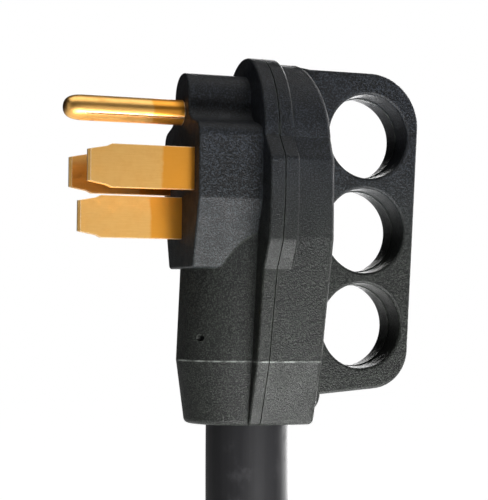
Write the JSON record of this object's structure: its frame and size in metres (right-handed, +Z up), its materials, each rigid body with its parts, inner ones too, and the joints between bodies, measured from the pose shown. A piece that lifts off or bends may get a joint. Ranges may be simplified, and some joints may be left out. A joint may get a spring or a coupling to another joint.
{
  "type": "power adapter",
  "caption": "Right-angle 50 A plug with a finger-hole grip, a short heavy cord that hangs from it, and a straight female connector at the far end.",
  "frame": {"origin": "centre of the plug's face, on the line of the two hot blades, where the face meets the receptacle", "axes": "+X from the face back to the finger grip, with the blades pointing to -X; +Y to one side; +Z up towards the ground pin, with the cord hanging to -Z"},
  "size_m": [0.1087, 0.0573, 0.5168],
  "materials": {
    "blade_brass": "polished, lightly tarnished rolled brass",
    "clamp_steel": "zinc plated band",
    "connector_face": "matt black thermoset",
    "connector_rubber": "matt black moulded rubber with a fine grain",
    "contact_brass": "spring brass",
    "copper": null,
    "cord_jacket": "satin black thermoplastic jacket",
    "core_plastic": "dark grey nylon",
    "face_rubber": "matt black moulded rubber",
    "filler_fibre": "twisted paper and jute filler",
    "insulation_black": "satin insulation",
    "insulation_green": "satin insulation",
    "insulation_red": "satin insulation",
    "insulation_white": "satin insulation",
    "plug_rubber": "matt black moulded rubber with a fine grain",
    "sleeve_tin": "tinned crimp sleeve"
  },
  "bodies": {
    "root": {"ground_pin": "blade_brass", "line_blade_1": "blade_brass", "line_blade_2": "blade_brass", "neutral_blade": "blade_brass", "plug_face_block": "face_rubber", "plug_blade_retainer": "core_plastic", "plug_crimp_sleeves": "sleeve_tin", "plug_front_shell": "plug_rubber", "plug_grip_cover": "plug_rubber", "plug_cord_clamp": "clamp_steel", "cord_jacket": "cord_jacket", "cord_filler": "filler_fibre", "core_black": "insulation_black", "core_red": "insulation_red", "core_white": "insulation_white", "core_green": "insulation_green", "conductor_black": "copper", "conductor_red": "copper", "conductor_white": "copper", "conductor_green": "copper", "connector_body": "connector_rubber", "connector_strain_relief": "connector_rubber", "connector_face_block": "connector_face", "connector_inner_core": "core_plastic", "connector_contact_line_1": "contact_brass", "connector_contact_line_2": "contact_brass", "connector_contact_neutral": "contact_brass", "connector_contact_ground": "contact_brass", "connector_crimp_sleeves": "sleeve_tin", "connector_cord_clamp": "clamp_steel"}
  },
  "joints": []
}
